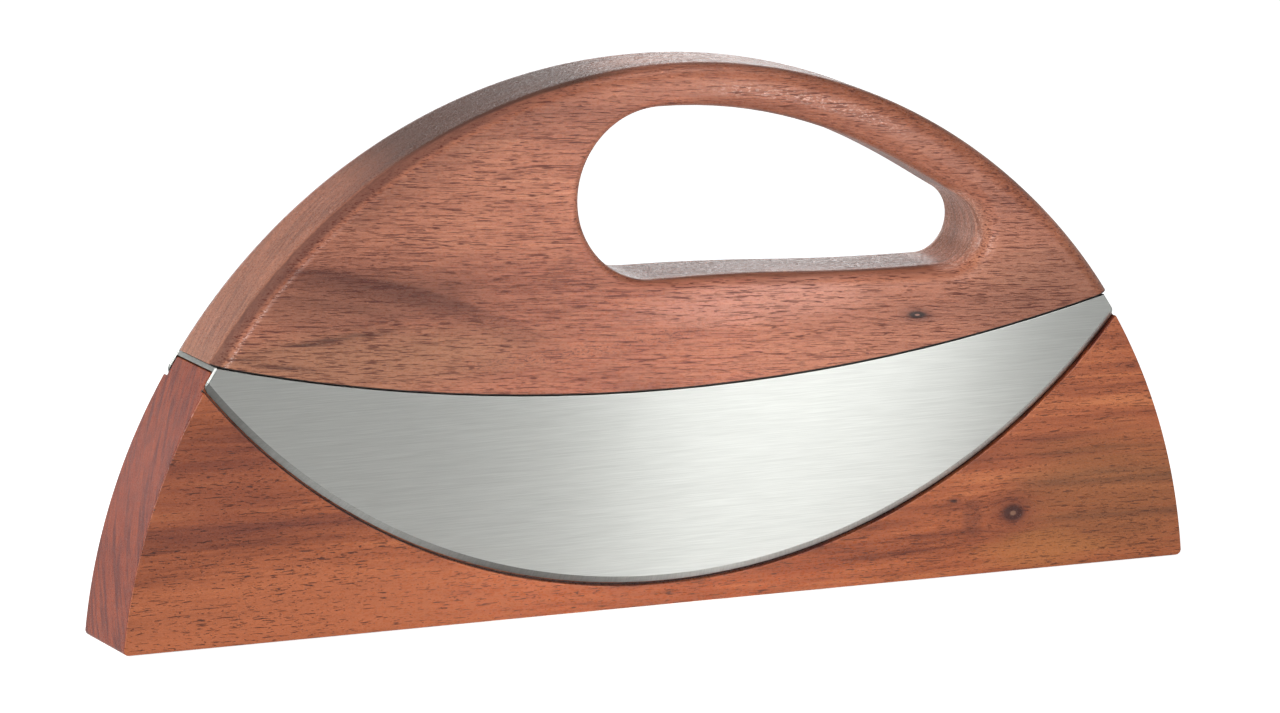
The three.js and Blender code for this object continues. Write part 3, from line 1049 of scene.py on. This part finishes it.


# Steel: brushed along X, so that reflections smear up and down; the ground edge has grinding marks, with
# painted shade towards its left and a painted reflection towards its right.
steelLook = {
    "colour": rgb(196, 198, 194),
    "streakLengths": (9, 1.0, 0.14),
    "mottleLengths": (14, 4, 5),
    "mottleShare": 0.1,
    "streakTint": 0.08,
    "streakSpan": (0.3, 0.7),
    "roughness": 0.37,
    "roughSpread": 0.02,
    "anisotropic": 1.0,
    "bump": 0.1,
    "bumpDepth": 0.02,
    "groundAlong": (-45, 62),
    "groundShade": (0.42, 1.4),  # of the face's colour along the ground edge, left and right: painted shade at the left, painted reflection at the right
    "groundLines": 0.35,  # mm between the grinding marks
    "groundDrift": 0.3,  # how soon a mark changes along its length
    "groundMarks": (0.75, 0.5),  # least shade of the marks, and how far they vary
    "topFrom": (0.8, 0.97),  # how far up a face looks
    "topShadeTint": rgb(24, 22, 20),  # painted shade on the top edges, down in the joint with the handle
}
plainLook = {
    "colour": rgb(182, 184, 180),
    "streakLengths": (20, 1.0, 0.4),
    "mottleLengths": (8, 4, 2.5),
    "mottleShare": 0.1,
    "streakTint": 0.15,
    "streakSpan": (0.3, 0.7),
    "roughness": 0.42,
    "roughSpread": 0.12,
    "bump": 0.1,
    "bumpDepth": 0.02,
}


def steelMaterial(name, look, brushed):
    material, tree = newTree(name)
    place = add(tree, "ShaderNodeTexCoord")
    spot = spotInMm(tree, place)
    streaks = noise(tree, stretched(tree, spot, look["streakLengths"]), detail=1.0, roughness=0.6).outputs[0]
    mottle = noise(tree, stretched(tree, spot, look["mottleLengths"])).outputs[0]
    shade = times(tree, streaks, 1 - look["mottleShare"])
    shade = plus(tree, shade, times(tree, mottle, look["mottleShare"]))
    low = tuple(c * (1 - look["streakTint"]) for c in look["colour"][:3]) + (1.0,)
    high = tuple(c * (1 + look["streakTint"]) for c in look["colour"][:3]) + (1.0,)
    colour = ramp(tree, shade, list(zip(look["streakSpan"], (low, high))))
    spread = times(tree, minus(tree, streaks, 0.5), look["roughSpread"])
    rough = plus(tree, look["roughness"], spread)
    if brushed:
        x, y, z = add(tree, "ShaderNodeSeparateXYZ", {0: spot}).outputs
        drop = minus(tree, z, cuttingArc.z)
        ring = distance(tree, x, drop)
        ground = calc(tree, "GREATER_THAN", ring, cuttingArc.r - bladeShape["bevelWidth"])
        around = times(tree, calc(tree, "ARCTAN2", x, drop), cuttingArc.r)
        marks = noise(tree, add(tree, "ShaderNodeCombineXYZ", {
            0: calc(tree, "DIVIDE", around, look["groundLines"]),
            1: times(tree, ring, look["groundDrift"]),
        }).outputs[0]).outputs[0]
        least, more = look["groundMarks"]
        # painted shade and reflection along the ground edge: darker at the left, brighter at the right,
        # broken by the grinding marks
        dullAndShade = span(tree, x, *look["groundAlong"], *look["groundShade"])
        dullAndShade = times(tree, dullAndShade, plus(tree, least, times(tree, marks, more)))
        colour = tint(tree, ground, colour, tint(tree, 1.0, colour, dullAndShade, "MULTIPLY"))
        upwards = add(tree, "ShaderNodeSeparateXYZ", {0: place.outputs["Normal"]}).outputs[2]
        # painted shade on the faces that look up, the top edges in the joint with the handle
        colour = tint(tree, span(tree, upwards, *look["topFrom"]), colour, look["topShadeTint"])
    bump = add(tree, "ShaderNodeBump", {
        "Strength": look["bump"],
        "Distance": look["bumpDepth"] * mm,
        "Height": streaks,
    })
    shader = add(tree, "ShaderNodeBsdfPrincipled", {
        "Base Color": colour,
        "Metallic": 1.0,
        "Roughness": rough,
        "Normal": bump.outputs[0],
    })
    if brushed:
        shader.inputs["Anisotropic"].default_value = look["anisotropic"]
        shader.inputs["Anisotropic Rotation"].default_value = 0.25  # highlights stretch across the brushing
        along = add(tree, "ShaderNodeTangent", direction_type="UV_MAP", uv_map="brushing")
        tree.links.new(along.outputs[0], shader.inputs["Tangent"])
    out = add(tree, "ShaderNodeOutputMaterial")
    tree.links.new(shader.outputs[0], out.inputs["Surface"])
    return material


# Build the pieces.
handleWood = woodMaterial("handleWood", handleLook)
standWood = woodMaterial("standWood", standLook)
bladeSteel = steelMaterial("bladeSteel", steelLook, True)
plainSteel = steelMaterial("plainSteel", plainLook, False)
print("materials made")

finishPiece(makeStand(), standWood, "stand", "stand")
print("stand made")
finishPiece(makeHandle(), handleWood, "mezzaluna", "handle")
print("handle made")
frontBlade = makeBlade()
rearBlade = turnedBlade(frontBlade)
finishPiece(frontBlade, bladeSteel, "mezzaluna", "front_blade")
finishPiece(rearBlade, bladeSteel, "mezzaluna", "rear_blade")
print("blades made")
finishPiece(makeBridge(), plainSteel, "mezzaluna", "blade_bridge")
leftScrew = makeScrew()
middleScrew, rightScrew = ownCopy(leftScrew, "middleScrew"), ownCopy(leftScrew, "rightScrew")
leftScrew.name = "leftScrew"
for screw, node, x in (
    (leftScrew, "left_screw", -screwSpread),
    (middleScrew, "middle_screw", 0),
    (rightScrew, "right_screw", screwSpread),
):
    finishPiece(seatScrew(screw, x), plainSteel, "mezzaluna", node)
print("bridge and screws made")


# Studio: a pale floor, soft lamps and a white surround.
studio = {
    "floorSize": 30,
    "floorDrop": 0.2,  # mm under the stand
    "floorColour": (0.8, 0.8, 0.8, 1.0),
    "floorGlow": 0.85,
    "floorSheen": (0.24, 0.15),  # glow of the floor in reflections, in front of the knife and behind it
    "sheenFade": (-0.02, 0.1),  # metres along Y
    "frontLight": 0.30,  # world towards the camera side
    "backLight": 2.9,
    "backFade": (-0.6, 0.6),  # from front to back
    "topLight": 0.10,  # share of it that is left overhead
    "skyline": (0.20, 0.30),  # heights between which the surround darkens
    "leftLight": 0.4,  # share of it that is left on the left
    "leftFade": (-0.35, 0.15),
    "rightLight": 0.25,
    "rightFade": (0.5, 0.68),
}
lamps = [
    {"name": "frontSoftbox", "size": (0.5, 0.22), "power": 9.4,
     "at": (-0.25, -1.6, 0.14), "aim": (0, 0, 0.05)},
    {"name": "leftSoftbox", "size": (0.5, 0.5), "power": 14,
     "at": (-1.2, -0.1, 0.6), "aim": (0, 0, 0.05)},
    {"name": "topSoftbox", "size": (0.5, 0.25), "power": 1.4,
     "at": (0.5, -0.25, 1.1), "aim": (0, 0, 0.08)},
    {"name": "bladeStrip", "size": (0.085, 0.30), "power": 0.285,
     "at": (0.178, -0.30, 0.15), "aim": (0.036, -0.01, 0.15)},
    {"name": "bladeWing", "size": (0.15, 0.30), "power": 0.023,
     "at": (0.085, -0.30, 0.15), "aim": (-0.057, -0.01, 0.15)},
    {"name": "bladeTip", "size": (0.06, 0.30), "power": 0.012,
     "at": (0.262, -0.30, 0.15), "aim": (0.12, -0.01, 0.15)},
    {"name": "middleGlow", "size": (0.08, 0.16), "power": 0.02, "spread": 5,
     "at": (-0.30, -1.1, 0.35), "aim": (0.0, -0.01, 0.028)},
]


def makeFloor():
    bpy.ops.object.select_all(action="DESELECT")
    bpy.ops.mesh.primitive_plane_add(size=studio["floorSize"], location=(0, 0, -studio["floorDrop"] * mm))
    floor = bpy.context.active_object
    floor.name = "floor"
    material, tree = newTree("paleFloor")
    matte = add(tree, "ShaderNodeBsdfDiffuse", {"Color": studio["floorColour"]})
    seen = add(tree, "ShaderNodeLightPath").outputs
    direct = times(tree, seen["Is Camera Ray"], studio["floorGlow"])
    place = add(tree, "ShaderNodeTexCoord")
    along = add(tree, "ShaderNodeSeparateXYZ", {0: place.outputs["Object"]}).outputs[1]
    sheen = span(tree, along, *studio["sheenFade"], *studio["floorSheen"])
    sheen = times(tree, seen["Is Glossy Ray"], sheen)
    glow = add(tree, "ShaderNodeEmission", {"Strength": plus(tree, direct, sheen)})
    both = add(tree, "ShaderNodeAddShader", {0: matte.outputs[0], 1: glow.outputs[0]})
    out = add(tree, "ShaderNodeOutputMaterial")
    tree.links.new(both.outputs[0], out.inputs["Surface"])
    floor.data.materials.append(material)


def makeWorld():
    world = bpy.data.worlds.new("studio")
    bpy.context.scene.world = world
    world.use_nodes = True
    tree = world.node_tree
    tree.nodes.clear()
    place = add(tree, "ShaderNodeTexCoord")
    way = add(tree, "ShaderNodeSeparateXYZ", {0: place.outputs["Generated"]}).outputs
    level = span(tree, way[1], *studio["backFade"], studio["frontLight"], studio["backLight"])
    level = times(tree, level, span(tree, way[2], *studio["skyline"], 1.0, studio["topLight"]))
    level = times(tree, level, span(tree, way[0], *studio["leftFade"], studio["leftLight"], 1.0))
    level = times(tree, level, span(tree, way[0], *studio["rightFade"], 1.0, studio["rightLight"]))
    surround = add(tree, "ShaderNodeBackground", {"Strength": level})
    white = add(tree, "ShaderNodeBackground", {"Strength": 1.0})
    for background in (surround, white):
        background.inputs["Color"].default_value = (1, 1, 1, 1)
    seen = add(tree, "ShaderNodeLightPath").outputs["Is Camera Ray"]
    mixed = add(tree, "ShaderNodeMixShader", {0: seen, 1: surround.outputs[0], 2: white.outputs[0]})
    out = add(tree, "ShaderNodeOutputWorld")
    tree.links.new(mixed.outputs[0], out.inputs["Surface"])


def makeLamp(name, at, aim, size, power, spread=180):
    lamp = bpy.data.lights.new(name, "AREA")
    lamp.shape = "RECTANGLE"
    lamp.size, lamp.size_y = size
    lamp.energy = power
    lamp.spread = math.radians(spread)
    holder = bpy.data.objects.new(name, lamp)
    bpy.context.scene.collection.objects.link(holder)
    holder.location = at
    holder.rotation_euler = (Vector(aim) - Vector(at)).to_track_quat("-Z", "Y").to_euler()
    holder.visible_camera = False


makeFloor()
makeWorld()
for lamp in lamps:
    makeLamp(**lamp)

# Camera: a long lens from the left and a little above.
shot = {
    "azimuth": -26.022,
    "elevation": 11.893,
    "roll": -0.89,
    "aim": (3.0, 10.055, 49.5),  # mm
    "distance": 2131.56,
    "lens": 281.25,
    "sensor": 36,
    "clip": (0.05, 100),  # metres
}


def makeCamera():
    camera = bpy.data.cameras.new("camera")
    camera.sensor_width = shot["sensor"]
    camera.lens = shot["lens"]
    camera.clip_start, camera.clip_end = shot["clip"]
    holder = bpy.data.objects.new("camera", camera)
    bpy.context.scene.collection.objects.link(holder)
    a, e = math.radians(shot["azimuth"]), math.radians(shot["elevation"])
    back = Vector((math.sin(a) * math.cos(e), -math.cos(a) * math.cos(e), math.sin(e)))
    holder.location = (Vector(shot["aim"]) + back * shot["distance"]) * mm
    level = (-back).to_track_quat("-Z", "Y")
    holder.rotation_mode = "QUATERNION"
    holder.rotation_quaternion = level @ Matrix.Rotation(math.radians(-shot["roll"]), 4, "Z").to_quaternion()
    bpy.context.scene.camera = holder


makeCamera()
bpy.context.scene.view_settings.view_transform = "Standard"
print("studio made")
